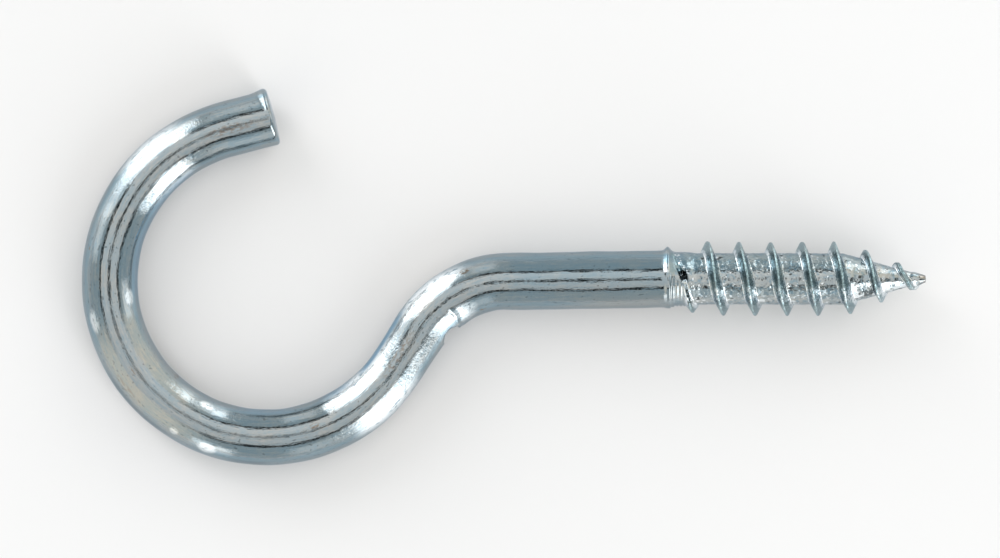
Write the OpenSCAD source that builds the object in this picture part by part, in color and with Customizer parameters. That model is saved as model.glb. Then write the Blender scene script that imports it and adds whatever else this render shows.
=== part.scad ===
// Screw hook: one length of plated steel wire. One end is bent into an open ring,
// the other carries a coarse rolled thread that runs out on a tapered point.
// The screw axis runs along +X, the ring opens towards +Y, and the hook lies on
// the ground at z = 0, on the back of its ring and on its lowest thread crest.

/* [Wire] */
// Diameter of the straight shank
shank_d = 5.4; // [5.3:0.05:6.5]
// Diameter of the wire in ring and neck, which bending has drawn thinner
wire_d = 5.28; // [4.5:0.02:5.4]
// Length over which the shank tapers down to the bent wire
shank_taper = 3; // [1:0.1:5]
// Length over all, from the back of the ring to the point
overall_length = 80; // [72:0.5:100]

/* [Ring] */
// Inside diameter of the ring
ring_inside_d = 24.4; // [20:0.1:28]
// Height of the ring's centre over the screw axis
ring_offset = 0.25; // [0:0.05:1.5]
// Length of the straight end of the wire, past the ring
end_length = 4.7; // [3:0.1:8]
// Slope of the straight end against the screw axis
end_angle = 14.5; // [5:0.5:25]
// How far the sheared rim of the end stands proud of the wire, on its outer side
end_flare = 0.35; // [0.1:0.05:0.7]
// Length over which the rim spreads
end_flare_length = 1.6; // [1:0.1:2.5]
// Bevel round the sheared face
end_bevel = 0.4; // [0.1:0.05:0.8]

/* [Neck] */
// Angle below the ring's centre at which the wire leaves the ring
neck_angle = 31.8; // [29:0.2:38]
// Radius of the bend between neck and shank, to the middle of the wire
bend_r = 9.6; // [7:0.1:11]
// Depth of the mark that the bending tool left inside the bend
dent_depth = 0.5; // [0.2:0.05:1]
// Width of that mark along the wire
dent_width = 2.3; // [1.5:0.1:3]

/* [Collar] */
// Diameter of the ridge where the rolled part begins
ridge_d = 5.6; // [5.5:0.05:6.5]
// Length of the ridge
ridge_length = 0.5; // [0.3:0.05:1]
// Diameter of the collar between ridge and thread
collar_d = 5.15; // [5:0.05:5.4]
// Length of the collar
collar_length = 1.5; // [1:0.1:2.5]
// Depth of the roller's rings round the collar
collar_ring_depth = 0.07; // [0.03:0.01:0.1]

/* [Thread] */
// Length of the rolled part, from the ridge to the point
thread_length = 24.4; // [18:0.2:30]
// Diameter over the thread's crests
thread_d = 7; // [6.6:0.1:9]
// Diameter of the core
core_d = 4.85; // [4:0.05:5]
// Advance of the thread in one turn
pitch = 3; // [2.2:0.1:4]
// Distance from the ridge to where the thread begins to rise
thread_lead = 0.7; // [0.3:0.1:1.5]
// Width of the thread where it meets the core
thread_root = 1.4; // [0.9:0.05:1.8]
// Width of the thread's crest
thread_crest = 0.25; // [0.1:0.05:0.5]
// Length of the tapered point
point_length = 7.8; // [5:0.1:12]
// Diameter of the blunt end of the point
point_d = 0.5; // [0.3:0.05:1]

/* [Hidden] */
$fn = 96;

// Cuts run this far past the solid that they cut.
overrun = 1;
// A bend is this much thinner than the straight wire that it runs into.
bend_thinning = 0.02;
// Each bend runs this far into the straight wire at its ends.
bend_overlap = 0.25;
// The spread rim keeps this far inside the wire on the inner side of the ring.
rim_sink = 0.04;
// The thread is rooted inside the core, at this share of the core's radius.
root_share = 0.8;
// The thread's crest starts and ends inside the core, at this share of the core's radius.
sunk_crest_share = 0.95;
thread_steps_per_turn = 36;
// The thread reaches its full height after this many turns.
run_in_turns = 0.85;
// The thread runs out on the point after this share of the point's length.
run_out_share = 0.95;
// Place of the tool's mark, as a share of the bend from shank to neck.
dent_share = 0.82;
collar_ring_count = 4;
// Length of the slope on each side of the ridge, as a share of the ridge's length.
ridge_slope_share = 0.5;
zinc = [0.70, 0.73, 0.74];

wire_r = wire_d / 2;
bend_wire_r = wire_r - bend_thinning / 2;
shank_r = shank_d / 2;

// The plan of the wire, with the screw axis at y = 0 and the length centred on x = 0
ring_r = (ring_inside_d + wire_d) / 2;
ring_x = ring_r + bend_wire_r - overall_length / 2;
ring_sweep = 270 - neck_angle - end_angle;
end_x = ring_x - ring_r * sin(end_angle);
end_y = ring_offset + ring_r * cos(end_angle);
neck_slope = 90 - neck_angle;
neck_x = ring_x + ring_r * cos(neck_angle);
neck_y = ring_offset - ring_r * sin(neck_angle);
neck_length = (bend_r * sin(neck_angle) - bend_r - neck_y) / cos(neck_angle);
bend_x = neck_x + neck_length * sin(neck_angle) + bend_r * cos(neck_angle);
thread_x = overall_length / 2 - thread_length;
shank_length = thread_x - bend_x;

// The height of the plan is halved, so that the hook lies centred on the origin.
plan_top = end_y + (end_length - end_bevel) * sin(end_angle) + (wire_r + end_flare) * cos(end_angle);
plan_bottom = ring_offset - ring_r - bend_wire_r;
plan_middle = (plan_top + plan_bottom) / 2;

// The tool's mark is a round cut across the inside of the bend.
dent_r = (dent_width * dent_width / 4 + dent_depth * dent_depth) / (2 * dent_depth);
dent_reach = bend_r - wire_r + dent_depth - dent_r;
dent_angle = 90 + dent_share * neck_slope;

// Collar and core, as distances along the rolled part
ridge_slope = ridge_length * ridge_slope_share;
collar_start = ridge_length + ridge_slope;
collar_end = ridge_length + collar_length;
collar_ring_pitch = (collar_end - collar_start) / collar_ring_count;
core_length = thread_length - point_length;

// The thread, as distances along the rolled part
thread_height = (thread_d - core_d) / 2;
flank_run = (thread_root - thread_crest) / 2 / thread_height;
thread_end = core_length + point_length * run_out_share;
thread_steps = ceil((thread_end - thread_lead) / pitch * thread_steps_per_turn);

// The hook rests on the back of its ring and on the first full crest under its axis.
back_x = ring_x - ring_r;
under_turns = 0.75 + ceil(run_in_turns - 0.75);
rest_crest_x = thread_x + thread_lead + under_turns * pitch;
rest_tilt = asin((thread_d / 2 - bend_wire_r) / (rest_crest_x - back_x));

// Radius of the core at a distance along the rolled part
function core_radius(along) =
    along < core_length
        ? core_d / 2
        : point_d / 2 + (core_d - point_d) / 2 * (thread_length - along) / point_length;

// Share of the full height that the thread has at a distance along the rolled part
function rise_share(along) =
    min(
        1,
        (along - thread_lead) / (run_in_turns * pitch),
        along < core_length ? 1 : sqrt(max(0, (thread_end - along) / (thread_end - core_length)))
    );

// Turns a distance along the axis and a radius into a point on the helix.
function on_helix(along, radius, turn) = [along, radius * cos(turn), radius * sin(turn)];

// The four corners of the thread's profile at one step of the helix
function thread_section(step) =
    let (
        along = thread_lead + (thread_end - thread_lead) * step / thread_steps,
        turn = 360 * (along - thread_lead) / pitch,
        core_r = core_radius(along),
        sunk_r = core_r * sunk_crest_share,
        crest_r = sunk_r + (core_r + thread_height - sunk_r) * rise_share(along),
        crest = thread_crest / 2,
        root = crest + flank_run * (crest_r - core_r * root_share)
    )
    [
        on_helix(along - root, core_radius(along - root) * root_share, turn),
        on_helix(along - crest, crest_r, turn),
        on_helix(along + crest, crest_r, turn),
        on_helix(along + root, core_radius(along + root) * root_share, turn)
    ];

// Lays what stands on z along the x axis.
module along_x() {
    rotate([0, 90, 0])
        children();
}

// Round wire bent about z, from one angle on through a sweep, and into the straights at its ends
module bent_wire(radius, from, sweep) {
    overlap = bend_overlap / radius * 180 / PI;
    rotate_extrude(angle = sweep + 2 * overlap, start = from - overlap)
        translate([radius, 0])
            circle(r = bend_wire_r);
}

// The straight end of the wire, with its bevelled rim spread outwards by the shears
module sheared_end() {
    rim_r = wire_r + (end_flare - rim_sink) / 2;
    rim_shift = (end_flare + rim_sink) / 2;
    along_x()
        cylinder(r = wire_r, h = end_length - end_bevel);
    translate([0, rim_shift, 0])
        along_x()
            rotate_extrude()
                polygon([
                    [0, end_length - end_flare_length],
                    [rim_r - end_flare, end_length - end_flare_length],
                    [rim_r, end_length - end_bevel],
                    [rim_r - end_bevel, end_length],
                    [0, end_length]
                ]);
}

// The open ring with its straight end
module ring() {
    translate([ring_x, ring_offset, 0])
        bent_wire(ring_r, 90 + end_angle, ring_sweep);
    translate([end_x, end_y, 0])
        rotate([0, 0, end_angle])
            sheared_end();
}

// The neck between ring and shank, with the tool's mark inside its bend
module neck() {
    translate([neck_x, neck_y, 0])
        rotate([0, 0, neck_slope])
            along_x()
                cylinder(d = wire_d, h = neck_length);
    translate([bend_x, -bend_r, 0])
        difference() {
            bent_wire(bend_r, 90, neck_slope);
            translate([dent_reach * cos(dent_angle), dent_reach * sin(dent_angle), 0])
                cylinder(r = dent_r, h = wire_d + overrun, center = true);
        }
}

// The plain shank, the ridge, the ringed collar, the core and its point, turned as one
module shank() {
    collar_rings = [
        for (ring = [0 : collar_ring_count - 1])
            let (start = collar_start + ring * collar_ring_pitch)
            each [
                [collar_d / 2, start],
                [collar_d / 2 - collar_ring_depth, start + collar_ring_pitch / 2]
            ]
    ];
    plain = [
        [0, -shank_length],
        [wire_r, -shank_length],
        [shank_r, shank_taper - shank_length]
    ];
    rolled = concat(
        [
            [shank_r, -ridge_slope],
            [ridge_d / 2, 0],
            [ridge_d / 2, ridge_length]
        ],
        collar_rings,
        [
            [collar_d / 2, collar_end],
            [core_d / 2, collar_end + ridge_slope],
            [core_d / 2, core_length],
            [point_d / 2, thread_length],
            [0, thread_length]
        ]
    );
    translate([thread_x, 0, 0])
        along_x()
            rotate_extrude()
                polygon(concat(plain, rolled));
}

// The rolled thread: one profile carried along a right-hand helix
module thread() {
    corners = len(thread_section(0));
    points = [for (step = [0 : thread_steps]) each thread_section(step)];
    sides = [
        for (step = [0 : thread_steps - 1], corner = [0 : corners - 1])
            let (
                here = step * corners,
                next = (corner + 1) % corners
            )
            each [
                [here + corner, here + next, here + corners + corner],
                [here + next, here + corners + next, here + corners + corner]
            ]
    ];
    last = thread_steps * corners;
    caps = [
        [for (corner = [corners - 1 : -1 : 0]) corner],
        [for (corner = [0 : corners - 1]) last + corner]
    ];
    translate([thread_x, 0, 0])
        polyhedron(points = points, faces = concat(sides, caps));
}

// The whole hook, tilted as it lies on the ground
module screw_hook() {
    color(zinc)
        translate([back_x, -plan_middle, bend_wire_r])
            rotate([0, -rest_tilt, 0])
                translate([-back_x, 0, 0]) {
                    ring();
                    neck();
                    shank();
                    thread();
                }
}

screw_hook();
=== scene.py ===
import logging
import math
from collections.abc import Callable, Mapping
from dataclasses import dataclass, field
from enum import Enum, IntEnum

import bpy
import numpy as np
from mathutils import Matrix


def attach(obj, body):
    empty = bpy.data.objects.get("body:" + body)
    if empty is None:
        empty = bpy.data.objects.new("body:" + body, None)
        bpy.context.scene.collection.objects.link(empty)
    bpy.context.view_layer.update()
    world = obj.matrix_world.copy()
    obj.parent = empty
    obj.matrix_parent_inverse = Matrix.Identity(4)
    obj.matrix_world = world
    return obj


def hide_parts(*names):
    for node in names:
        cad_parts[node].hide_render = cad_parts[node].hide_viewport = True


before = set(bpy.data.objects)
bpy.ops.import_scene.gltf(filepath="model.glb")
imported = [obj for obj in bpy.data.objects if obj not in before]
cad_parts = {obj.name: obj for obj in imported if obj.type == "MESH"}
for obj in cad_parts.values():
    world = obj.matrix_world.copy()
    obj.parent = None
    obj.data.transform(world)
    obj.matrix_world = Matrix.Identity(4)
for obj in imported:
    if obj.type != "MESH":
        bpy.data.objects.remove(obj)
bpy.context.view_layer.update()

LOG = logging.getLogger("screw_hook")

# All sizes below are in millimetres, as the wire is measured, and this turns them into metres.
MM = 0.001
WIRE_COORDS = "wire_coords"
THREAD_SHARE = "thread_share"
CREST_OFFSET = "crest_offset"

Colour = tuple[float, float, float]
Vector = tuple[float, float, float]
Array = np.ndarray


class Part(IntEnum):
    """The stretches of the wire, in order."""

    END = 0
    RING = 1
    NECK = 2
    BEND = 3
    SHANK = 4


class Turn(Enum):
    """Which way a stretch of wire bends, seen from above along its run."""

    LEFT = 1
    STRAIGHT = 0
    RIGHT = -1


def smooth(value: Array, low: float, high: float) -> Array:
    """Eases from 0 at low to 1 at high, which may be less than low."""
    share = np.clip((value - low) / (high - low), 0.0, 1.0)
    return share * share * (3.0 - 2.0 * share)


def bump_at(value: Array, middle: float, width: float) -> Array:
    """A soft bump of height 1 at a middle, which has fallen to about a third at its width."""
    return np.exp(-(((value - middle) / width) ** 2))


def angle_from(turn: Array, middle: float) -> Array:
    """The angle round the wire from a middle, between minus and plus pi."""
    return (turn - middle + math.pi) % (2.0 * math.pi) - math.pi


def placed(name: str, data: bpy.types.ID) -> bpy.types.Object:
    """Makes an object and puts it into the scene.

    Args:
        name: The object's name.
        data: Its mesh or camera.

    Returns:
        The object.
    """
    made = bpy.data.objects.new(name, data)
    bpy.context.scene.collection.objects.link(made)
    return made


@dataclass(frozen=True)
class Stretch:
    """One stretch of the wire's middle line, straight or bent at one radius."""

    length: float
    turn: Turn = Turn.STRAIGHT
    radius: float = 1.0

    def curvature(self) -> float:
        """The change of heading over a millimetre, in radians."""
        return self.turn.value / self.radius


@dataclass
class WirePlan:
    """The middle line of the bent wire, from the sheared end to the point, lying as it rests."""

    overall_length: float = 80.0
    wire_d: float = 5.28
    bend_thinning: float = 0.02
    ring_inside_d: float = 24.4
    ring_offset: float = 0.25
    end_length: float = 4.7
    end_angle: float = 14.5
    end_flare: float = 0.35
    end_bevel: float = 0.4
    neck_angle: float = 31.8
    bend_r: float = 9.6
    thread_length: float = 24.4
    thread_d: float = 7.0
    thread_lead: float = 0.7
    pitch: float = 3.0
    rest_turns: float = 1.75
    camber_rise: float = 0.1
    camber_drop: float = 0.22
    camber_top: float = 0.4
    camber_end: float = 1.1

    def __post_init__(self) -> None:
        """Works out the stretches and the way that the hook lies."""
        end, neck = math.radians(self.end_angle), math.radians(self.neck_angle)
        rest_r = (self.wire_d - self.bend_thinning) / 2
        ring_r = (self.ring_inside_d + self.wire_d) / 2
        ring_x = ring_r + rest_r - self.overall_length / 2
        neck_y = self.ring_offset - ring_r * math.sin(neck)
        neck_length = (self.bend_r * math.sin(neck) - self.bend_r - neck_y) / math.cos(neck)
        bend_x = ring_x + (ring_r + self.bend_r) * math.cos(neck) + neck_length * math.sin(neck)
        self.stretches: list[Stretch] = [
            Stretch(self.end_length),
            Stretch(ring_r * (1.5 * math.pi - neck - end), Turn.LEFT, ring_r),
            Stretch(neck_length),
            Stretch(self.bend_r * (math.pi / 2 - neck), Turn.RIGHT, self.bend_r),
            Stretch(self.overall_length / 2 - bend_x),
        ]
        self.length: float = sum(stretch.length for stretch in self.stretches)
        self.ridge_at: float = self.length - self.thread_length
        self.heading: float = math.pi + end
        self.start_x: float = ring_x - ring_r * math.sin(end) + self.end_length * math.cos(end)
        self.start_y: float = self.ring_offset + ring_r * math.cos(end) + self.end_length * math.sin(end)
        top = self.start_y - self.end_bevel * math.sin(end)
        top += (self.wire_d / 2 + self.end_flare) * math.cos(end)
        self.middle_y: float = (top + self.ring_offset - ring_r - rest_r) / 2
        self.back_x: float = ring_x - ring_r
        self.rest_r: float = rest_r
        crest_x = self.overall_length / 2 - self.thread_length
        crest_x += self.thread_lead + self.rest_turns * self.pitch
        self.tilt: float = math.asin((self.thread_d / 2 - rest_r) / (crest_x - self.back_x))

    def starts(self) -> list[float]:
        """Where each stretch begins, along the wire."""
        return [sum(s.length for s in self.stretches[:i]) for i in range(len(self.stretches))]

    def walk(self, run: Array) -> tuple[Array, Array]:
        """Follows the middle line in plan.

        Args:
            run: Distances along the wire from its sheared end.

        Returns:
            The points, as rows of x and y, and the headings there in radians.
        """
        points = np.zeros((len(run), 2))
        headings = np.zeros(len(run))
        x, y, heading, start = self.start_x, self.start_y, self.heading, 0.0
        for index, stretch in enumerate(self.stretches):
            here = run >= (start if index > Part.END else -math.inf)
            here = here & ((run < start + stretch.length) | (index == Part.SHANK))
            points[here, 0], points[here, 1] = self.step(stretch, x, y, heading, run[here] - start)
            headings[here] = heading + stretch.curvature() * (run[here] - start)
            end_x, end_y = self.step(stretch, x, y, heading, np.array([stretch.length]))
            x, y = float(end_x[0]), float(end_y[0])
            heading += stretch.curvature() * stretch.length
            start += stretch.length
        return points, headings

    @staticmethod
    def step(stretch: Stretch, x: float, y: float, heading: float, way: Array) -> tuple[Array, Array]:
        """Goes some way along one stretch.

        Args:
            stretch: The stretch of wire.
            x: Where it begins, in x.
            y: Where it begins, in y.
            heading: Its heading there.
            way: Distances along it.

        Returns:
            The x and y of the places reached.
        """
        curve = stretch.curvature()
        if curve == 0.0:
            return x + way * math.cos(heading), y + way * math.sin(heading)
        after = heading + curve * way
        return (
            x + (np.sin(after) - math.sin(heading)) / curve,
            y - (np.cos(after) - math.cos(heading)) / curve,
        )

    def lay(self, run: Array, side: Array, rise: Array) -> Array:
        """Turns places on the wire into points of the hook as it lies.

        Args:
            run: Distances along the wire, one for each ring of points.
            side: Distances to the left of the middle line, rings by points.
            rise: Distances above the middle line, rings by points.

        Returns:
            The points in metres, rings by points by 3.
        """
        points, headings = self.walk(run)
        shank = self.starts()[Part.SHANK]
        share = (run - shank) / (self.length - shank)
        camber = self.camber_rise * smooth(share, 0.0, self.camber_top)
        camber = camber - self.camber_drop * smooth(share, self.camber_top, self.camber_end)
        x = points[:, 0, None] - side * np.sin(headings)[:, None]
        y = points[:, 1, None] + side * np.cos(headings)[:, None] + camber[:, None]
        away = x - self.back_x
        lain_x = self.back_x + away * math.cos(self.tilt) - rise * math.sin(self.tilt)
        lain_z = self.rest_r + away * math.sin(self.tilt) + rise * math.cos(self.tilt)
        return np.stack([lain_x, y - self.middle_y, lain_z], axis=-1) * MM


@dataclass(frozen=True)
class DrawnWire:
    """The round wire's own thickness: thinner where it is bent, fuller on the shank."""

    ring_r: float = 2.65
    neck_r: float = 2.53
    shank_r: float = 2.72
    thinning: float = 6.0
    filling: float = 2.0
    waver: float = 0.012
    oval: float = 0.0132

    def radius(self, plan: WirePlan, run: Array, turn: Array) -> Array:
        """The wire's radius before any tool has touched it.

        Args:
            plan: The wire's middle line.
            run: Distances along the wire, as a column.
            turn: Angles round the wire, as a row.

        Returns:
            The radius at each place, rings by points.
        """
        _, _, neck, bend, shank = plan.starts()
        base = self.ring_r + (self.neck_r - self.ring_r) * smooth(run, neck - self.thinning, neck)
        filled = smooth(run, bend + self.filling, shank + self.filling)
        base = base + (self.shank_r - self.neck_r) * filled
        # Slow waves that never fall in step, so that no two places on the wire are quite alike.
        drift = np.sin(run * 0.83 + 1.1) + 0.7 * np.sin(run * 1.71 + 2.0 * np.cos(turn))
        oval = np.sin(run * 0.61) * np.cos(2.0 * turn + 0.9) + np.sin(run * 0.37 + 2.0) * np.sin(3.0 * turn)
        oval = oval + 0.5 * np.sin(run * 1.43 + 0.3) * np.cos(4.0 * turn + 0.21 * run)
        return base + self.waver * drift * np.cos(turn - 0.4) + self.oval * oval


@dataclass(frozen=True)
class ShearedEnd:
    """The end of the wire, which the shears spread outwards and left bevelled."""

    flare: float = 0.26
    flare_length: float = 2.0
    upper_length: float = 0.7
    rim_at: float = 0.15
    fray: float = 0.03
    bevel: float = 0.42
    dome: float = 0.1
    bevel_rings: int = 7
    face_rings: int = 6

    def shape(self, run: Array, turn: Array, radius: Array) -> Array:
        """Spreads the rim on the outer side.

        Args:
            run: Distances along the wire, as a column.
            turn: Angles round the wire, as a row.
            radius: The radius so far.

        Returns:
            The radius with the spread rim.
        """
        outer = (0.5 - 0.5 * np.cos(turn)) ** 4
        reach = self.upper_length + (self.flare_length - self.upper_length) * outer**2
        spread = smooth(run, reach, self.rim_at) ** 1.5
        rim = np.cos(3.0 * turn + 0.7) + 0.6 * np.cos(7.0 * turn)
        return radius + spread * (self.flare * outer + self.fray * rim)

    def cap(self) -> tuple[Array, Array, Array]:
        """The rings that close the wire at its sheared face, from the middle out.

        Returns:
            Each ring's place along the wire, its share of the face's radius and its inset.
        """
        shares = np.linspace(0.0, 1.0, self.face_rings + 2)[1:-1]
        swing = np.linspace(math.pi / 2, 0.0, self.bevel_rings)
        places = np.concatenate([-self.dome * (1.0 - shares**2), self.bevel * (1.0 - np.sin(swing))])
        inset = np.concatenate([np.full(len(shares), self.bevel), self.bevel * (1.0 - np.cos(swing))])
        return places, np.concatenate([shares, np.ones(self.bevel_rings)]), inset


@dataclass(frozen=True)
class BendMark:
    """The mark that the bending tool pressed into the inside of the bend."""

    share: float = 0.17
    depth: float = 0.25
    floor_half: float = 0.35
    width: float = 1.35
    wall: float = 0.4
    clearance: float = 2.0
    shoulder: float = 0.21
    neck_reach: float = 3.2
    corner: float = 0.33
    corner_at: float = 1.8
    chord_end: float = 5.0
    chord_rise: float = 0.1
    fade_end: float = 7.0
    fold_depth: float = 0.07
    fold_at: float = 2.15
    fold_width: float = 0.3
    fold_slant: float = 0.35
    fold_waver: float = 0.12

    def shape(self, plan: WirePlan, run: Array, turn: Array, radius: Array) -> Array:
        """Presses the mark and raises its shoulders.

        Args:
            plan: The wire's middle line.
            run: Distances along the wire, as a column.
            turn: Angles round the wire, as a row.
            radius: The radius so far.

        Returns:
            The marked radius.
        """
        middle = plan.starts()[Part.BEND] + self.share * plan.stretches[Part.BEND].length
        way = run - middle
        inside = np.clip(-np.cos(turn), 0.0, 1.0)
        before = self.shoulder * bump_at(way, 0.0, self.neck_reach)
        chord = [0.0, self.corner_at, self.chord_end, self.fade_end]
        after = np.interp(way, chord, [self.shoulder, self.corner, self.chord_rise, 0.0])
        swollen = radius + np.where(way < 0.0, before, after) * inside**2
        floor = self.depth * (1.0 - smooth(np.abs(way), self.floor_half, self.width))
        clear = self.clearance * smooth(np.abs(way), self.width, self.width + self.wall)
        flat = (radius - floor + clear) / np.maximum(inside, 0.05)
        line = way - self.fold_slant * np.cos(turn) - self.fold_waver * np.sin(turn * 9.0)
        fold = self.fold_depth * bump_at(line, self.fold_at, self.fold_width) * smooth(inside, 0.2, 0.6)
        return np.minimum(swollen, flat) - fold


@dataclass(frozen=True)
class RolledCollar:
    """The ridge and the rippled collar that the thread roller left above the thread."""

    ridge: float = 0.09
    ridge_at: float = -0.06
    ridge_width: float = 0.3
    burr: float = 0.27
    burr_turn: float = 0.1
    burr_spread: float = 0.75
    collar_r: float = 2.56
    step_length: float = 0.8
    collar_length: float = 2.0
    ripple: float = 0.035
    ripple_pitch: float = 0.36
    fold_depth: float = 0.05
    fold_width: float = 0.2
    tear_depth: float = 0.17
    pit_depth: float = 0.75
    pit_way: float = 1.39
    pit_turn: float = 1.41
    pit_spread: float = 0.2
    pit_width: float = 0.3
    slope_above: float = 1.26
    slope_below: float = 0.64
    sliver_rise: float = 0.5
    sliver_turn: float = 1.5
    sliver_width: float = 0.05

    def shape(self, way: Array, turn: Array, radius: Array) -> Array:
        """Turns the wire into ridge and collar.

        Args:
            way: Distances from the ridge, as a column.
            turn: Angles round the wire, as a row.
            radius: The radius so far.

        Returns:
            The radius with ridge and collar.
        """
        stepped = radius + (self.collar_r - radius) * smooth(way, 0.0, self.step_length)
        edge = bump_at(way, self.ridge_at, self.ridge_width)
        upper = bump_at(angle_from(turn, self.burr_turn), 0.0, self.burr_spread)
        stepped = stepped + edge * (self.ridge + self.burr * upper)
        lower = smooth(-np.cos(turn), -0.25, 0.3)
        waves = np.sin(2.0 * math.pi * way / self.ripple_pitch)
        on_collar = smooth(way, -0.1, 0.15) * smooth(way, self.collar_length, self.collar_length - 0.5)
        return stepped + self.ripple * waves * on_collar * lower

    def crack(self, way: Array, turn: Array, radius: Array) -> Array:
        """Opens the fold where the thread tears out of the collar.

        Args:
            way: Distances from the ridge, as a column.
            turn: Angles round the wire, as a row.
            radius: The radius so far.

        Returns:
            The radius with the fold.
        """
        past = turn - self.pit_turn
        line = way - self.pit_way - np.where(past < 0.0, self.slope_above, self.slope_below) * past
        along = smooth(turn, 0.3, 0.8) * smooth(turn, 2.6, 2.0)
        depth = self.fold_depth + self.tear_depth * smooth(turn, 0.9, 1.4)
        valley = depth * bump_at(line, 0.0, self.fold_width) * along
        pit = self.pit_depth * bump_at(past, 0.0, self.pit_spread) * np.exp(-((line / self.pit_width) ** 4))
        sliver = bump_at(line + 0.35 * (turn - 1.45), -0.05, self.sliver_width)
        sliver = self.sliver_rise * sliver * bump_at(turn, self.sliver_turn, 0.12)
        return radius - valley - pit + sliver


@dataclass(frozen=True)
class WoodThread:
    """The coarse rolled thread, its core and its tapered point."""

    core_r: float = 2.43
    core_from: float = 1.5
    core_full: float = 2.9
    core_waver: float = 0.02
    height: float = 1.08
    root: float = 1.08
    lean: float = 0.1
    skew: float = 0.05
    crest: float = 0.1
    crest_round: float = 0.025
    fillet: float = 0.06
    run_out_crest: float = 0.28
    blunt_from: float = 0.45
    blunt_full: float = 0.1
    point_length: float = 7.8
    point_r: float = 0.25
    tip_swell: float = 0.13
    tip_swell_at: float = 0.75
    run_in_turns: float = 0.68
    run_in_root: float = 0.5
    run_in_sunk: float = 0.95
    run_out_share: float = 0.95
    wobble: float = 0.05
    sway: float = 0.05

    def core(self, plan: WirePlan, way: Array) -> Array:
        """The core's radius.

        Args:
            plan: The wire's middle line.
            way: Distances from the ridge.

        Returns:
            The radius at each distance.
        """
        left = np.clip(plan.thread_length - way, 0.0, None)
        cone = self.point_r + (self.core_r - self.point_r) * left / self.point_length
        cone = cone + self.tip_swell * bump_at(left, self.tip_swell_at, self.tip_swell_at)
        return np.minimum(self.core_r, cone)

    def run_out_at(self, plan: WirePlan) -> float:
        """Where the thread ends, as a distance from the ridge."""
        return plan.thread_length - self.point_length * (1.0 - self.run_out_share)

    def crest_radius(self, plan: WirePlan, crest_at: Array) -> Array:
        """The crest's uneven radius, from the run-in to the run-out.

        Args:
            plan: The wire's middle line.
            crest_at: Places of the crest, from the ridge.

        Returns:
            The radius at each place.
        """
        point, end = plan.thread_length - self.point_length, self.run_out_at(plan)
        rise = np.clip((crest_at - plan.thread_lead) / (self.run_in_turns * plan.pitch), 0.0, 1.0)
        out = np.sqrt(np.clip((end - crest_at) / (end - point), 0.0, 1.0))
        rise = np.minimum(rise, np.where(crest_at < point, 1.0, out))
        core = self.core(plan, crest_at)
        low = core * self.run_in_sunk
        uneven = self.wobble * np.sin(crest_at * 2.7 + 0.5) * np.sin(crest_at * 1.13)
        return low + (core + self.height - low + uneven) * rise

    def shape(self, plan: WirePlan, way: Array, turn: Array, radius: Array) -> tuple[Array, Array, Array]:
        """Raises the thread over core and collar.

        Args:
            plan: The wire's middle line.
            way: Distances from the ridge, as a column.
            turn: Angles round the wire, as a row.
            radius: The radius so far, of shank and collar.

        Returns:
            The threaded radius, the thread's share of its full height and the way from its crest.
        """
        core = self.core(plan, way)
        core = core + self.core_waver * np.sin(way * 2.3 + 2.0 * turn) * np.sin(way * 5.1 - turn)
        base = radius + (core - radius) * smooth(way, self.core_from, self.core_full)
        turns = (way - plan.thread_lead) / plan.pitch - turn / (2.0 * math.pi)
        off = (turns - np.maximum(np.round(turns), 0.0)) * plan.pitch
        crest_at = way - off
        off = off + self.sway * np.sin(crest_at * 1.9) * np.sin(turn * 2.0 + crest_at)
        root = self.root - self.lean * np.cos(turn)
        root = root + self.run_in_root * smooth(crest_at - plan.thread_lead, plan.pitch, plan.pitch / 2)
        flank = root / 2 * np.where(off < 0.0, 1.0 + self.skew, 1.0 - self.skew)
        slope = self.height / (flank - self.crest / 2)
        left = (self.run_out_at(plan) - crest_at) / self.point_length
        blunt = self.run_out_crest * smooth(left, self.blunt_from, self.blunt_full)
        away = np.sqrt(off**2 + self.crest_round**2) - self.crest_round
        fall = slope * np.maximum(away - (self.crest + blunt) / 2, 0.0)
        gap = self.crest_radius(plan, crest_at) - fall - base
        joined = base + (gap + np.sqrt(gap**2 + self.fillet**2)) / 2.0
        return joined, np.clip((joined - base) / self.height, 0.0, 1.0), off


def operator(operation: str, reflected: bool = False) -> Callable[["Socket", "Socket | float"], "Socket"]:
    """Makes an operator for sockets out of a Math node.

    Args:
        operation: The Math node's operation.
        reflected: Whether the socket is the second value.

    Returns:
        The operator's method.
    """

    def method(self: "Socket", other: "Socket | float") -> "Socket":
        """Adds the Math node."""
        return self.math(operation, *((other, self) if reflected else (self, other)))

    return method


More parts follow.
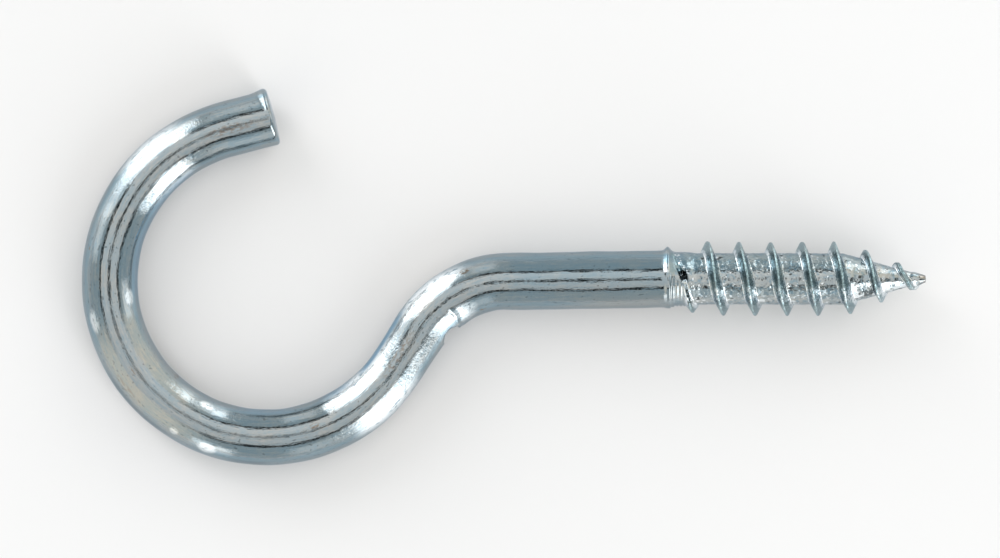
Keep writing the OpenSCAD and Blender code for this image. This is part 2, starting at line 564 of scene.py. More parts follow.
class Socket:
    """An output of a shader node that takes part in Python expressions."""

    __add__, __radd__ = operator("ADD"), operator("ADD", True)
    __sub__, __rsub__ = operator("SUBTRACT"), operator("SUBTRACT", True)
    __mul__, __rmul__ = operator("MULTIPLY"), operator("MULTIPLY", True)
    __truediv__, __rtruediv__ = operator("DIVIDE"), operator("DIVIDE", True)
    __pow__, __rpow__ = operator("POWER"), operator("POWER", True)

    def __init__(self, sheet: "NodeSheet", out: bpy.types.NodeSocket) -> None:
        """Keeps the sheet of nodes and the output."""
        self.sheet = sheet
        self.out = out

    def math(self, operation: str, *values: "Socket | float") -> "Socket":
        """Adds one Math node for some values, in order, and hands back its output."""
        return self.sheet.add("ShaderNodeMath", {"operation": operation}, dict(enumerate(values)))

    def ease(self, low: float, high: float) -> "Socket":
        """Eases from 0 at low to 1 at high.

        Args:
            low: Where the ease begins.
            high: Where the ease ends; it may be less than low.

        Returns:
            The eased share.
        """
        if low > high:
            return 1.0 - self.ease(high, low)
        return self.sheet.add(
            "ShaderNodeMapRange",
            {"interpolation_type": "SMOOTHSTEP"},
            {"Value": self, "From Min": low, "From Max": high},
        )

    def near(self, middle: float, half: float, soft: float) -> "Socket":
        """A window of 1 about a middle, half to each side, with edges as wide as soft."""
        off = self.math("ABSOLUTE", self - middle)
        return off.ease(half + soft / 2, half - soft / 2)

    @staticmethod
    def total(parts: "list[Socket]") -> "Socket":
        """Adds all the parts up."""
        return sum(parts[1:], parts[0])


class NodeSheet:
    """A sheet of shader nodes, to which nodes are added one by one."""

    def __init__(self, tree: bpy.types.NodeTree) -> None:
        """Empties the tree and keeps it."""
        tree.nodes.clear()
        self.tree = tree

    def add(
        self,
        kind: str,
        settings: Mapping[str, object] | None = None,
        sockets: Mapping[str | int, object] | None = None,
        output: str | int = 0,
    ) -> Socket | None:
        """Adds one node.

        Args:
            kind: The node's type.
            settings: The node's own settings, which are set first.
            sockets: Values or links of its inputs, by name or number.
            output: The output to hand back, by name or number.

        Returns:
            The node's output, or None where it has none.
        """
        node = self.tree.nodes.new(kind)
        for name, value in (settings or {}).items():
            setattr(node, name, value)
        for name, value in (sockets or {}).items():
            if isinstance(value, Socket):
                self.tree.links.new(value.out, node.inputs[name])
            elif isinstance(value, tuple) and node.inputs[name].type == "RGBA":
                node.inputs[name].default_value = (*value, 1.0)
            else:
                node.inputs[name].default_value = value
        return Socket(self, node.outputs[output]) if len(node.outputs) else None

    def blend(self, share: Socket | float, low: Socket | Colour, high: Socket | Colour) -> Socket:
        """Blends two colours by the share of the second one."""
        return self.add("ShaderNodeMix", {"data_type": "RGBA"}, {0: share, 6: low, 7: high}, 2)

    def parts(self, vector: Socket) -> tuple[Socket, ...]:
        """Takes a vector apart into x, y and z."""
        return tuple(self.add("ShaderNodeSeparateXYZ", {}, {0: vector}, axis) for axis in "XYZ")


@dataclass(frozen=True)
class Reach:
    """A length of the wire with soft ends, and how much is done there."""

    middle: float
    half: float
    soft: float
    depth: float = 1.0


@dataclass(frozen=True)
class Smudge:
    """A small spot on the upper side of the wire, for stains, spots of painted shade and rubbed spots with
    painted highlights.
    """

    run: float
    side: float
    length: float
    width: float
    depth: float
    edge: tuple[float, float] = (1.6, 0.1)

    def share(self, run: Socket, side: Socket) -> Socket:
        """How much of the spot there is at a place on the wire."""
        way, off = (run - self.run) * (1.0 / self.length), (side - self.side) * (1.0 / self.width)
        return (way * way + off * off).ease(*self.edge) * self.depth


class WireSpot:
    """The place on the wire that is being shaded, and its noises, as outputs of shader nodes."""

    def __init__(self, sheet: NodeSheet, plan: WirePlan) -> None:
        """Reads the place from the skin's attributes.

        Args:
            sheet: The sheet of nodes.
            plan: The wire's middle line.
        """
        self.sheet = sheet
        self.place = sheet.add("ShaderNodeAttribute", {"attribute_name": WIRE_COORDS}, output="Vector")
        self.run, self.side, self.rise = sheet.parts(self.place)
        self.thread, self.off_crest = (
            sheet.add("ShaderNodeAttribute", {"attribute_name": name}, output="Fac")
            for name in (THREAD_SHARE, CREST_OFFSET)
        )
        self.way = self.run - plan.ridge_at
        self.from_bend = self.run - plan.starts()[Part.BEND]
        self.rolled = self.way.ease(1.0, 2.2)
        self.top = self.rise.ease(0.0, 0.5)
        self.lower, self.upper = self.side.ease(0.6, -1.4), self.side.ease(0.2, 1.4)
        self.calm = self.side.near(0.1, 0.6, 0.5)
        self.flank = self.thread.ease(0.1, 0.35)
        self.drawn = self.noise(5.0, 3.0, stretch=(0.12, 1.0, 1.0))
        self.grit = self.noise(3.2, 3.0, 0.6, (0.6, 1.0, 1.0))
        self.fine = self.noise(2.6)
        self.coarse = self.noise(1.5, stretch=(1.0, 0.9, 1.1))

    def noise(
        self, scale: float, detail: float = 2.0, rough: float = 0.5, stretch: Vector | None = None
    ) -> Socket:
        """Soft noise about zero.

        Args:
            scale: Its fineness.
            detail: The number of finer layers.
            rough: The weight of the finer layers.
            stretch: The fineness along the wire, across it and upwards.

        Returns:
            The noise, less one half.
        """
        place, add = self.place, self.sheet.add
        if stretch:
            place = add("ShaderNodeVectorMath", {"operation": "MULTIPLY"}, {0: place, 1: stretch})
        sockets = {"Vector": place, "Scale": scale, "Detail": detail, "Roughness": rough}
        return add("ShaderNodeTexNoise", {"noise_dimensions": "3D"}, sockets) - 0.5

    def over(self, *reaches: Reach) -> Socket:
        """How much is done at the spot, over some lengths of the wire."""
        return Socket.total([self.run.near(r.middle, r.half, r.soft) * r.depth for r in reaches])

    def marked(self, marks: tuple[Smudge, ...]) -> Socket:
        """How much of some marks there is at the spot."""
        return Socket.total([mark.share(self.run, self.side) for mark in marks]) * self.top


@dataclass
class Coat:
    """The plating's colour at a spot, laid on layer by layer."""

    spot: WireSpot
    colour: Socket | Colour

    def lay(self, share: Socket, paint: Colour) -> None:
        """Covers a share of the colour so far with another colour."""
        self.colour = self.spot.sheet.blend(share, self.colour, paint)


@dataclass(frozen=True)
class ZincPlate:
    """Bright zinc plating over drawn and rolled steel wire.

    The numbers in its methods are edges and widths in millimetres where they follow a place on
    the wire, edges of noise about zero where they follow a noise, and shares of a colour at the end.
    """

    # Besides the plating's own tones, specks and stains, these colours also lay painted light on the wire:
    # painted highlights, glints, sheen and reflections, and painted shade; the methods say where.
    cool: Colour = (0.325, 0.372, 0.393)
    warm: Colour = (0.385, 0.388, 0.375)
    bright: Colour = (0.93, 0.96, 0.97)
    pale: Colour = (0.60, 0.60, 0.565)
    flank: Colour = (0.25, 0.345, 0.355)
    sheen: Colour = (0.52, 0.68, 0.72)
    outer_sheen: Colour = (0.36, 0.43, 0.43)
    # Dark specks and pits, and also painted shade.
    speck_and_shade: Colour = (0.05, 0.055, 0.055)
    black: Colour = (0.01, 0.012, 0.012)
    stain: Colour = (0.24, 0.17, 0.12)
    edge_tint: Colour = (0.70, 0.78, 0.86)
    slate: Colour = (0.20, 0.305, 0.365)
    blue: Colour = (0.25, 0.385, 0.50)
    roughness: float = 0.085
    shank: Reach = Reach(84.0, 7.5, 4.0)
    warm_ring: Reach = Reach(36.0, 6.0, 4.0, 0.5)
    warm_shank: Reach = Reach(88.0, 4.0, 4.0, 0.4)
    worn: tuple[Reach, ...] = (Reach(4.5, 5.0, 3.0), Reach(40.0, 13.0, 5.0))
    frosted: Reach = Reach(15.0, 1.6, 1.6)
    frosted_outside: tuple[Reach, ...] = (Reach(8.3, 1.6, 1.6), Reach(53.6, 1.4, 1.6))
    # Lengths with painted blue reflections on the left rims.
    blue_rim_reflections: tuple[Reach, ...] = (
        Reach(18.0, 8.0, 3.0, 0.5),
        Reach(47.5, 3.0, 3.0, 0.4),
        Reach(56.0, 1.5, 2.0, 0.55),
        Reach(63.0, 3.5, 2.0),
    )
    # Lengths with painted shade on the right rims.
    shaded_rims: tuple[Reach, ...] = (Reach(35.5, 3.5, 3.0, 0.35), Reach(46.0, 1.5, 1.5, 0.25))
    smudges: tuple[Smudge, ...] = (
        Smudge(4.3, 0.1, 2.6, 0.45, 0.55),
        Smudge(21.4, -2.1, 0.16, 0.1, 1.0),
        Smudge(33.0, -0.4, 0.5, 0.15, 0.8),
        Smudge(33.7, -1.8, 1.3, 0.25, 0.4),
        Smudge(36.3, 2.45, 0.3, 0.2, 0.8),
        Smudge(52.3, 0.35, 0.5, 0.25, 0.8),
        Smudge(63.2, 0.4, 2.6, 0.4, 0.55),
        Smudge(72.6, 1.65, 0.45, 0.22, 1.0),
        Smudge(73.2, -2.25, 0.5, 0.12, 0.9),
    )
    # A spot of painted shade on the neck's right side, over a reflection.
    shaded_spots: tuple[Smudge, ...] = (Smudge(65.4, -1.65, 2.6, 0.5, 0.38),)
    # Rubbed spots: rougher, and painted brighter as painted highlights.
    rubs_and_highlights: tuple[Smudge, ...] = (
        Smudge(12.0, 2.05, 3.2, 0.45, 0.6),
        Smudge(11.5, -2.3, 3.2, 0.45, 0.7),
        Smudge(25.9, 1.85, 0.9, 0.35, 0.8),
        Smudge(27.6, -1.8, 1.0, 0.38, 0.7),
        Smudge(39.3, -1.8, 0.4, 0.28, 0.6),
        Smudge(40.9, 1.8, 0.8, 0.32, 0.7),
        Smudge(42.4, -1.95, 0.8, 0.42, 0.8),
        Smudge(58.6, 1.95, 4.4, 0.7, 0.8),
        Smudge(59.0, -2.25, 3.5, 0.48, 0.8),
        Smudge(62.8, 2.0, 2.5, 0.4, 0.5),
        Smudge(69.3, 1.95, 3.4, 0.8, 0.9),
        Smudge(71.2, -1.75, 1.4, 0.8, 0.55),
    )

    def material(self, plan: WirePlan) -> bpy.types.Material:
        """Makes the plating.

        Args:
            plan: The wire's middle line, which places the rolled end and the bend.

        Returns:
            The material.
        """
        made = bpy.data.materials.new("zinc_plate")
        made.use_nodes = True
        sheet = NodeSheet(made.node_tree)
        spot = WireSpot(sheet, plan)
        coat = Coat(spot, self.cool)
        rubs_and_highlights = spot.marked(self.rubs_and_highlights)
        self.drawn_look(coat)
        self.soiled_and_painted_light_look(coat, rubs_and_highlights)
        self.core_look(coat)
        self.flank_look(coat)
        self.torn_look(coat)
        bump = {"Strength": 1.0, "Distance": MM, "Height": self.relief(spot)}
        sockets = {
            "Base Color": coat.colour,
            "Metallic": 1.0,
            "Roughness": self.dullness(spot, rubs_and_highlights),
            "Specular Tint": self.edge_tint,
            "Normal": sheet.add("ShaderNodeBump", {}, bump),
        }
        shader = sheet.add("ShaderNodeBsdfPrincipled", {}, sockets)
        sheet.add("ShaderNodeOutputMaterial", {}, {"Surface": shader})
        return made

    def dullness(self, spot: WireSpot, rubs_and_highlights: Socket) -> Socket:
        """The roughness, which is more where the wire was worn, rubbed or rolled.

        Args:
            spot: The place on the wire.
            rubs_and_highlights: The share of the rubbed spots, which are also painted highlights.

        Returns:
            The roughness.
        """
        worn = spot.over(*self.worn) * spot.side.near(0.0, 0.3, 0.4)
        flanks = spot.rolled * spot.thread.ease(0.02, 0.2)
        rough = self.roughness + 0.06 * spot.grit + 0.05 * spot.rolled
        return rough + 0.13 * flanks + 0.09 * worn + 0.2 * rubs_and_highlights

    def relief(self, spot: WireSpot) -> Socket:
        """The fine relief: drawn lines and frost on the wire, crystals and blotches on the rolled end.

        Args:
            spot: The place on the wire.

        Returns:
            The height, in millimetres.
        """
        aside = (spot.side * spot.side).ease(0.8, 2.0)
        by_bend = spot.from_bend.near(-2.5, 4.5, 4.0)
        ends = spot.over(*self.frosted_outside) * spot.side.ease(0.5, -0.5) + spot.over(self.frosted)
        frost = spot.noise(6.5) * 0.022 * aside * (ends + 0.5 * by_bend)
        plain = spot.drawn * 0.012 + spot.grit * (0.012 + 0.012 * by_bend) + frost
        crystals = spot.noise(3.6, rough=0.6) * (0.02 + 0.035 * spot.flank)
        calm = spot.calm * (1.0 - spot.flank)
        rolled = (crystals + spot.noise(1.7) * 0.11) * (1.0 - 0.5 * calm)
        return plain * (1.0 - spot.rolled) + rolled * spot.rolled

    def drawn_look(self, coat: Coat) -> None:
        """Colours the plain wire, mottled along its run, with painted shade on its sides and along one side
        of the shank, the collar paler on top with painted shade at its side, and the burr with a painted
        highlight and painted shade.

        Args:
            coat: The colour so far.
        """
        spot = coat.spot
        mottle = spot.noise(0.35) * 1.6 + spot.grit * 0.8 + spot.drawn * 0.9
        coat.lay(mottle.ease(-0.35, 0.65), self.warm)
        streak = spot.drawn * 0.7 + spot.grit * 0.6
        coat.lay(streak.ease(-0.02, -0.14) * 0.2, self.slate)
        coat.lay(streak.ease(0.04, 0.16) * 0.1, self.pale)
        # Painted shade: the wire's sides darker and bluer, less so over the warm lengths.
        sides = (spot.side * spot.side).near(4.75, 0.9, 1.4) * spot.rise.ease(0.0, 0.6)
        warmer = spot.over(self.warm_ring) + spot.over(self.warm_shank) * spot.side.ease(0.0, -1.0)
        coat.lay(sides * (1.0 - spot.rolled) * (0.6 - warmer), self.slate)
        on_shank = spot.over(self.shank)
        # Painted shade along one side of the shank.
        coat.lay(on_shank * spot.side.ease(-1.2, -0.2) * 0.3, self.slate)
        coat.lay(on_shank * spot.run.ease(80.0, 86.0) * spot.side.ease(-0.8, -1.6) * 0.6, self.warm)
        specks = spot.noise(3.7, 1.0, stretch=(0.7, 1.0, 1.0)).ease(0.17, 0.24)
        coat.lay(specks * (0.35 + 0.3 * spot.rolled), self.speck_and_shade)
        collar = spot.way.near(0.55, 0.6, 0.6) * spot.rise.ease(1.0, 2.0)
        coat.lay(collar * spot.grit.ease(-0.15, 0.1) * 0.2, self.pale)
        # Painted shade on the collar's left side, on top.
        shaded = spot.way.near(1.5, 1.5, 0.8) * spot.side.near(1.4, 0.9, 0.6)
        coat.lay(shaded * spot.top * 0.7, self.slate)
        # Painted shade and a painted highlight on the burr's top.
        burr = spot.way.near(-0.2, 0.25, 0.2) * spot.rise.ease(0.0, 0.3)
        coat.lay(burr * spot.side.near(1.95, 0.4, 0.3) * 0.8, self.slate)
        coat.lay(burr * spot.side.near(1.05, 0.35, 0.3) * 0.7, self.bright)

    def soiled_and_painted_light_look(self, coat: Coat, rubs_and_highlights: Socket) -> None:
        """Paints highlights over the rubbed spots, painted blue reflections and painted shade on the rims,
        painted shade over one spot, and stains where the wire was handled.

        Args:
            coat: The colour so far.
            rubs_and_highlights: The share of the rubbed spots, painted here as highlights.
        """
        spot = coat.spot
        grain = spot.noise(4.0, stretch=(0.5, 1.0, 1.0))
        # Painted highlights over the rubbed spots.
        coat.lay(rubs_and_highlights * grain.ease(-0.20, -0.02), self.bright)
        shown = spot.rise.ease(-0.6, 0.2)
        # Painted reflections: blue rims on the left side over some lengths.
        coat.lay(shown * spot.side.near(2.5, 0.35, 0.3) * spot.over(*self.blue_rim_reflections), self.blue)
        # Painted shade on the right rims over some lengths.
        coat.lay(shown * spot.side.near(-2.55, 0.25, 0.35) * spot.over(*self.shaded_rims), self.speck_and_shade)
        # Painted shade over one spot.
        coat.lay(spot.marked(self.shaded_spots), self.speck_and_shade)
        coat.lay(spot.marked(self.smudges) * grain.ease(-0.08, 0.12), self.stain)

    def core_look(self, coat: Coat) -> None:
        """Colours the core: mottled and pitted, with painted shade on its left side, painted reflections on
        its right side and beside the roots, painted glints, painted dark and bright reflections on the
        point and a stained tip.

        Args:
            coat: The colour so far.
        """
        spot, way, off = coat.spot, coat.spot.way, coat.spot.off_crest
        on_core = spot.rolled * spot.thread.ease(0.2, 0.05)
        # Painted shade: bluish and darker on the core's left side.
        coat.lay(on_core * spot.side.ease(0.5, 2.0) * 0.4, self.flank)
        # Painted reflections: paler on the right side and beside the thread's roots.
        coat.lay(on_core * (spot.lower * 0.35 + off.near(0.85, 0.3, 0.4) * 0.2), self.pale)
        mottle = spot.noise(2.1, 3.0, 0.6)
        coat.lay(on_core * mottle.ease(-0.03, -0.14) * 0.6, self.slate)
        coat.lay(on_core * mottle.ease(0.05, 0.16) * 0.25, self.pale)
        pits = spot.noise(1.9, 1.0, stretch=(0.8, 1.0, 0.9))
        coat.lay(on_core * pits.ease(0.16, 0.22) * 0.9, self.speck_and_shade)
        # Painted glints, more of them on the right side beside the roots.
        beside = spot.lower * off.near(0.85, 0.35, 0.3)
        glints = (spot.fine - spot.calm * 0.06 + beside * 0.08).ease(0.11, 0.19)
        coat.lay(on_core * glints * 0.8, self.bright)
        # Painted dark and bright reflections on the point's right side.
        reach = (spot.side * spot.side + spot.rise * spot.rise + 0.01) ** 0.5
        below = on_core * (spot.side / reach).near(-0.58, 0.3, 0.2) * spot.rise.ease(0.0, 0.2)
        cone = way.ease(16.6, 17.2) * way.ease(23.9, 23.2)
        patch = spot.coarse + 0.1 * way.ease(18.5, 20.5) + 0.08 * off.near(0.8, 0.3, 0.3)
        coat.lay(below * way.near(18.3, 1.2, 0.6) * patch.ease(0.06, 0.0) * 0.7, self.speck_and_shade)
        coat.lay(below * cone * patch.ease(0.01, 0.07), self.bright)
        coat.lay(way.ease(23.4, 24.2) * 0.45, self.stain)

    def flank_look(self, coat: Coat) -> None:
        """Colours the thread with painted light: painted shade on the flanks and beside the crests, painted
        sheen where the flanks turn to the sides and in flecks on the crests, painted reflections on the
        left and right flanks and painted highlights along the root edges.

        Args:
            coat: The colour so far.
        """
        spot, side, off = coat.spot, coat.spot.side, coat.spot.off_crest
        on_flank = spot.rolled * spot.flank
        # Painted shade: the flanks darker and bluer.
        coat.lay(on_flank * (0.75 + spot.coarse * 0.6), self.flank)
        # Painted sheen where the flanks turn to the sides.
        outer = (side * side).ease(5.0, 7.6)
        coat.lay(on_flank * outer * 0.8, self.outer_sheen)
        # Painted shadows on both sides of the crest.
        shadow = off.near(-0.24, 0.12, 0.14) + off.near(0.24, 0.08, 0.12) * spot.upper * 1.4
        coat.lay(on_flank * shadow * (1.0 - outer) * 0.45, self.speck_and_shade)
        # Painted sheen in flecks on the crest, and painted reflections on the left side's flanks and the
        # right side's flanks.
        crest = off.near(0.05, 0.08, 0.12) * spot.noise(4.2, 1.0).ease(-0.02, 0.10)
        shine = side.near(1.5, 0.5, 0.7) * off.near(-0.43, 0.19, 0.18) * spot.fine.ease(-0.14, 0.0)
        leaf = side.near(-1.5, 0.65, 0.6) * off.near(0.15, 0.42, 0.2) * spot.fine.ease(-0.08, 0.06)
        coat.lay(on_flank * crest * 0.7, self.sheen)
        coat.lay(on_flank * shine * 0.8, self.sheen)
        coat.lay(on_flank * leaf * 0.65, self.bright)
        # Painted highlights along the roots of the flanks.
        edge = spot.thread.ease(0.004, 0.02) * spot.thread.ease(0.40, 0.22) * spot.rolled
        before = off.ease(0.04, -0.04)
        share = before * (0.75 + spot.upper * 0.2) + (1.0 - before) * (0.6 + 0.3 * spot.lower)
        coat.lay(edge * share * spot.fine.ease(-0.18, 0.0), self.bright)

    def torn_look(self, coat: Coat) -> None:
        """Colours the start of the thread: painted shade in its fold and a black pit of painted shade,
        painted highlights on shreds beside the fold and in the pit, and painted dark and bright reflections
        on the curled lip below.

        Args:
            coat: The colour so far.
        """
        spot, way, side, off = coat.spot, coat.spot.way, coat.spot.side, coat.spot.off_crest
        shreds = spot.noise(5.0, 1.0)
        line = way + side * 0.5 - 1.58
        beside = side.near(1.5, 0.95, 0.4) * spot.top
        # Painted shade in the fold, and painted highlights on shreds beside it.
        coat.lay(line.near(0.0, 0.12, 0.16) * beside * 0.8, self.flank)
        coat.lay(line.near(0.4, 0.25, 0.2) * beside * shreds.ease(0.04, 0.12), self.bright)
        # Painted shade in the pit, black, with painted glints.
        pit_way, pit_off = (way - 1.39) * 2.5, (side - 0.38) * 1.9
        pit = (pit_way * pit_way + pit_off * pit_off).ease(1.3, 0.6) * spot.top
        coat.lay(pit * shreds.ease(0.10, 0.02), self.black)
        coat.lay(pit * shreds.ease(0.10, 0.16), self.bright)
        # Painted dark and bright reflections on the curled lip.
        lip = way.near(1.9, 0.7, 0.4) * side.near(-1.7, 0.75, 0.3) * spot.rise.ease(0.0, 0.2)
        coat.lay(lip * off.near(0.08, 0.12, 0.1) * shreds.ease(0.12, 0.0), self.speck_and_shade)
        coat.lay(lip * off.near(-0.2, 0.11, 0.1), self.bright)
        coat.lay(lip * off.near(0.36, 0.08, 0.1) * side.ease(-2.1, -1.8), self.bright)


@dataclass
class ScrewHook:
    """The whole hook: one closed skin along the wire, from sheared end to point."""

    plan: WirePlan = field(default_factory=WirePlan)
    wire: DrawnWire = field(default_factory=DrawnWire)
    end: ShearedEnd = field(default_factory=ShearedEnd)
    mark: BendMark = field(default_factory=BendMark)
    collar: RolledCollar = field(default_factory=RolledCollar)
    thread: WoodThread = field(default_factory=WoodThread)
    finish: ZincPlate = field(default_factory=ZincPlate)
    around: int = 112
    wire_step: float = 0.32
    mark_step: float = 0.1
    collar_step: float = 0.04
    thread_step: float = 0.055
    mark_reach: tuple[float, float] = (1.5, 5.0)
    collar_reach: tuple[float, float] = (0.6, 3.2)
    tip_gap: float = 0.05

    def places(self) -> Array:
        """Spaces the rings along the wire, closer together where there is more relief.

        Returns:
            The places of the rings.
        """
        bend, ridge = self.plan.starts()[Part.BEND], self.plan.ridge_at
        marks = [self.end.bevel, bend - self.mark_reach[0], bend + self.mark_reach[1]]
        marks += [ridge - self.collar_reach[0], ridge + self.collar_reach[1]]
        steps = [self.wire_step, self.mark_step, self.wire_step, self.collar_step, self.thread_step]
        ends = marks[1:] + [self.plan.length - self.tip_gap]
        runs = [
            np.linspace(low, high, max(2, round((high - low) / step)), endpoint=False)
            for low, high, step in zip(marks, ends, steps)
        ]
        return np.concatenate([*runs, [ends[-1]]])[1:]

    def radii(self, run: Array, turn: Array) -> tuple[Array, Array, Array]:
        """The hook's radius all over its wire.

        Args:
            run: Distances along the wire, as a column.
            turn: Angles round the wire, as a row.

        Returns:
            The radius, the thread's share of its height and the way from its crest, rings by points.
        """
        way = run - self.plan.ridge_at
        radius = self.wire.radius(self.plan, run, turn)
        radius = self.end.shape(run, turn, radius)
        radius = self.mark.shape(self.plan, run, turn, radius)
        radius = self.collar.shape(way, turn, radius)
        radius, share, off = self.thread.shape(self.plan, way, turn, radius)
        return self.collar.crack(way, turn, radius), share, off

    def build(self) -> bpy.types.Object:
        """Builds the skin as one mesh.

        Returns:
            The hook, in the frame's place.
        """
        cap_run, cap_share, cap_inset = self.end.cap()
        body_run = self.places()
        run = np.concatenate([cap_run, body_run])
        share = np.concatenate([cap_share, np.ones(len(body_run))])[:, None]
        inset = np.concatenate([cap_inset, np.zeros(len(body_run))])[:, None]
        turn = np.linspace(0.0, 2.0 * math.pi, self.around, endpoint=False)[None, :]
        radius, thread, off = self.radii(run[:, None], turn)
        radius = (radius - inset) * share
        side, rise = radius * np.cos(turn), radius * np.sin(turn)
        skin = self.plan.lay(run, side, rise).reshape(-1, 3)
        ends_run = np.array([-self.end.dome, self.plan.length])
        nought = np.zeros((2, 1))
        poles = self.plan.lay(ends_run, nought, nought).reshape(-1, 3)
        mesh = bpy.data.meshes.new("screw_hook_plated")
        mesh.from_pydata(np.concatenate([skin, poles]).tolist(), [], self.faces(len(run)))
        mesh.polygons.foreach_set("use_smooth", np.ones(len(mesh.polygons), bool))
        spread = np.stack([np.broadcast_to(run[:, None], side.shape), side, rise], axis=-1)
        pole_spread = np.stack([ends_run, np.zeros(2), np.zeros(2)], axis=-1)
        coords = np.concatenate([spread.reshape(-1, 3), pole_spread])
        mesh.attributes.new(WIRE_COORDS, "FLOAT_VECTOR", "POINT").data.foreach_set("vector", coords.ravel())
        for name, values in ((THREAD_SHARE, thread), (CREST_OFFSET, off)):
            spots = np.concatenate([values.ravel(), np.zeros(2)])
            mesh.attributes.new(name, "FLOAT", "POINT").data.foreach_set("value", spots)
        mesh.update()
        return placed("screw_hook_plated", mesh)

    def faces(self, rings: int) -> list[tuple[int, ...]]:
        """The faces between neighbouring rings, and those that close both ends.

        Args:
            rings: The number of rings.

        Returns:
            The corners of each face.
        """
        count, last = rings * self.around, (rings - 1) * self.around
        pairs = [(i, (i + 1) % self.around) for i in range(self.around)]
        faces = [
            (first + a, first + b, first + self.around + b, first + self.around + a)
            for first in range(0, last, self.around)
            for a, b in pairs
        ]
        faces += [(count, b, a) for a, b in pairs]
        return faces + [(count + 1, last + a, last + b) for a, b in pairs]

    def dress(self, made: bpy.types.Object) -> None:
        """Plates the hook and fits it into the frame.

        Args:
            made: The hook.
        """
        made.data.materials.append(self.finish.material(self.plan))
        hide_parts("screw_hook")
        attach(made, "root")


class TentWay:
    """A direction into the tent, as outputs of shader nodes."""

    def __init__(self, sheet: NodeSheet, lean: float) -> None:
        """Reads the direction.

        Args:
            sheet: The sheet of nodes.
            lean: How far the tent leans along x, in degrees.
        """
        way = sheet.add("ShaderNodeTexCoord", output="Generated")
        lean_by = (0.0, math.radians(lean), 0.0)
        x, y, z = sheet.parts(sheet.add("ShaderNodeMapping", {}, {"Vector": way, "Rotation": lean_by}))
        self.level = (x * x + y * y + 1e-5) ** 0.5
        self.x, self.y = x / self.level, y / self.level
        self.zenith = z.math("ARCCOSINE", z) * math.degrees(1.0)

    def facing(self, azimuth: float) -> Socket:
        """The cosine of the level angle from an azimuth, which is in degrees."""
        turn = math.radians(azimuth)
        return self.x * math.cos(turn) + self.y * math.sin(turn)


@dataclass(frozen=True)
class SoftBox:
    """One soft light in the tent's wall, brightest in its middle; all angles are in degrees."""

    azimuth: float
    half: float
    fade: float
    low: float
    high: float
    radiance: float
    low_fade: float = 5.0
    high_fade: float = 6.0

    def glow(self, way: TentWay) -> Socket:
        """The box's light by direction.

        Args:
            way: The direction.

        Returns:
            The radiance.
        """
        edges = (math.cos(math.radians(angle)) for angle in (self.half + self.fade, self.half))
        wide = way.facing(self.azimuth).ease(*edges)
        lift = 90.0 - way.zenith
        tall = lift.ease(self.low - self.low_fade, self.low + self.low_fade)
        tall = tall * lift.ease(self.high + self.high_fade, self.high - self.high_fade)
        return wide * tall * self.radiance


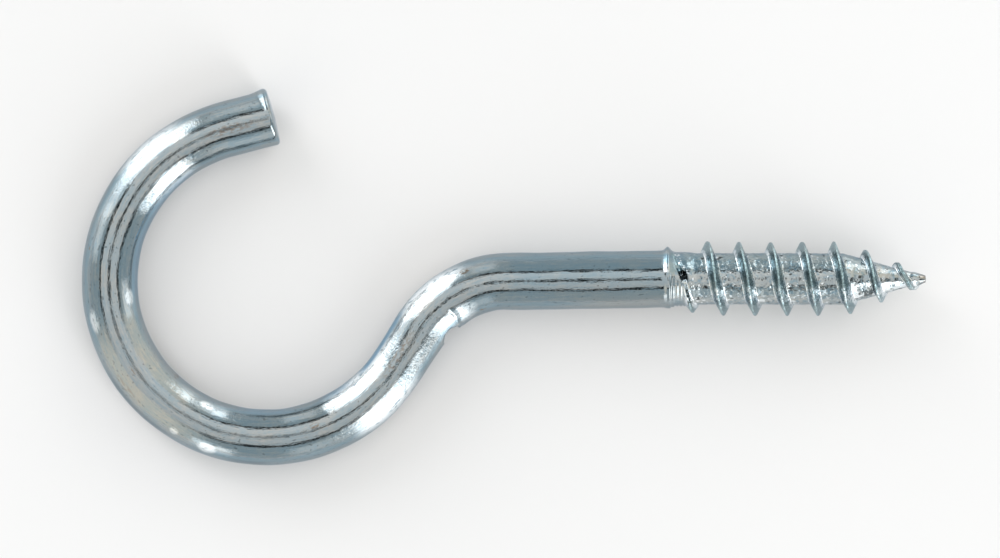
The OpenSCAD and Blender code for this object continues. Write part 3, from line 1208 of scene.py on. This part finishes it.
@dataclass(frozen=True)
class Studio:
    """The light tent with its soft boxes, and the pale floor."""

    overhead: Colour = (1.10, 1.13, 1.13)
    side: Colour = (0.52, 0.63, 0.68)
    low_side: Colour = (0.60, 0.67, 0.70)
    warm_side: Colour = (1.20, 1.15, 1.03)
    seam: Colour = (0.01, 0.012, 0.012)
    floor: Colour = (0.89, 0.857, 0.85)
    floor_roughness: float = 0.14
    floor_half: float = 4.0
    warm_azimuths: tuple[float, ...] = (38.0, 220.0)
    warm_edge: tuple[float, float] = (0.855, 0.99)
    low_zeniths: tuple[float, float] = (62.0, 90.0)
    roof_level: float = 0.97
    roof_slope: float = 0.3
    lean: float = 1.7
    seam_zenith: float = 38.0
    seam_half: float = 4.0
    seam_soft: float = 0.8
    roof_soft: float = 0.5
    lens_hole: float = 4.6
    boxes: tuple[SoftBox, ...] = (
        SoftBox(131.5, 10.5, 7.5, -1.0, 33.0, 3.2),
        SoftBox(132.0, 8.0, 6.5, 33.0, 53.0, 3.2),
        SoftBox(151.0, 3.0, 8.0, 0.0, 44.0, 0.8),
        SoftBox(-47.0, 6.3, 10.5, -1.0, 50.0, 3.4),
        SoftBox(56.5, 1.0, 5.0, 2.0, 32.0, 1.7),
        SoftBox(71.0, 2.0, 7.0, 2.0, 32.0, 2.0),
        SoftBox(250.0, 2.0, 7.0, 2.0, 22.0, 1.4),
        SoftBox(104.0, 2.0, 7.0, 4.0, 34.0, 0.45),
        SoftBox(162.0, 3.0, 10.0, 6.0, 34.0, 0.7),
        SoftBox(9.0, 3.0, 8.0, 4.0, 34.0, 0.8),
        SoftBox(-75.0, 4.0, 8.0, 4.0, 34.0, 0.4),
    )

    def build_tent(self) -> None:
        """Makes the world's light: a pale roof with a narrow seam over dimmer sides."""
        world = bpy.data.worlds.new("light_tent")
        world.use_nodes = True
        bpy.context.scene.world = world
        sheet = NodeSheet(world.node_tree)
        way = TentWay(sheet, self.lean)
        zenith, seam = way.zenith, self.seam_zenith
        lobe = Socket.total([way.facing(azimuth).ease(*self.warm_edge) for azimuth in self.warm_azimuths])
        sides = sheet.blend(zenith.ease(*self.low_zeniths), self.side, self.low_side)
        sides = sheet.blend(lobe, sides, self.warm_side)
        shade = self.roof_level + self.roof_slope * way.y * way.level
        roof = sheet.add("ShaderNodeVectorMath", {"operation": "SCALE"}, {0: self.overhead, "Scale": shade})
        tent = sheet.blend(zenith.ease(seam - self.roof_soft, seam + self.roof_soft), roof, sides)
        ring = zenith.near(seam, self.seam_half, self.seam_soft)
        tent = sheet.blend(ring * (1.0 - lobe), tent, self.seam)
        tent = sheet.blend(zenith.near(0.0, self.lens_hole, self.seam_soft), tent, self.seam)
        glow = Socket.total([box.glow(way) for box in self.boxes])
        lit = sheet.add("ShaderNodeVectorMath", {"operation": "ADD"}, {0: tent, 1: glow})
        light = sheet.add("ShaderNodeBackground", {}, {"Color": lit, "Strength": 1.0})
        sheet.add("ShaderNodeOutputWorld", {}, {"Surface": light})

    def build_floor(self) -> None:
        """Lays the floor."""
        half = self.floor_half
        mesh = bpy.data.meshes.new("floor")
        corners = [(-half, -half, 0.0), (half, -half, 0.0), (half, half, 0.0), (-half, half, 0.0)]
        mesh.from_pydata(corners, [], [(0, 1, 2, 3)])
        satin = bpy.data.materials.new("floor_board")
        satin.use_nodes = True
        sheet = NodeSheet(satin.node_tree)
        sockets = {"Base Color": self.floor, "Roughness": self.floor_roughness}
        board = sheet.add("ShaderNodeBsdfPrincipled", {}, sockets)
        sheet.add("ShaderNodeOutputMaterial", {}, {"Surface": board})
        mesh.materials.append(satin)
        placed("floor", mesh)

    def build(self) -> None:
        """Sets the whole studio up."""
        self.build_tent()
        self.build_floor()


@dataclass(frozen=True)
class PhotoCamera:
    """The camera, straight above the hook."""

    middle_x: float = -0.359
    middle_y: float = -0.447
    focus_z: float = 3.0
    view_width: float = 94.787
    lens: float = 400.0
    sensor: float = 36.0
    roll: float = 0.475
    clip_end: float = 100.0

    def build(self) -> bpy.types.Object:
        """Places the camera.

        Returns:
            The camera.
        """
        data = bpy.data.cameras.new("photo_camera")
        data.lens = self.lens
        data.sensor_width = self.sensor
        data.clip_end = self.clip_end
        made = placed("photo_camera", data)
        height = self.focus_z + self.view_width * self.lens / self.sensor
        made.location = (self.middle_x * MM, self.middle_y * MM, height * MM)
        made.rotation_euler = (0.0, 0.0, -math.radians(self.roll))
        bpy.context.scene.camera = made
        return made


def main() -> None:
    """Builds the camera, the studio and the hook."""
    logging.basicConfig(level=logging.INFO, format="%(name)s: %(message)s")
    bpy.context.scene.view_settings.view_transform = "Standard"
    camera = PhotoCamera().build()
    LOG.info("camera at %s", [round(v, 4) for v in camera.location])
    Studio().build()
    LOG.info("studio set up")
    hook = ScrewHook()
    made = hook.build()
    hook.dress(made)
    triangles = sum(len(face.vertices) - 2 for face in made.data.polygons)
    LOG.info("%s: %d triangles", made.name, triangles)


if __name__ == "__main__":
    main()
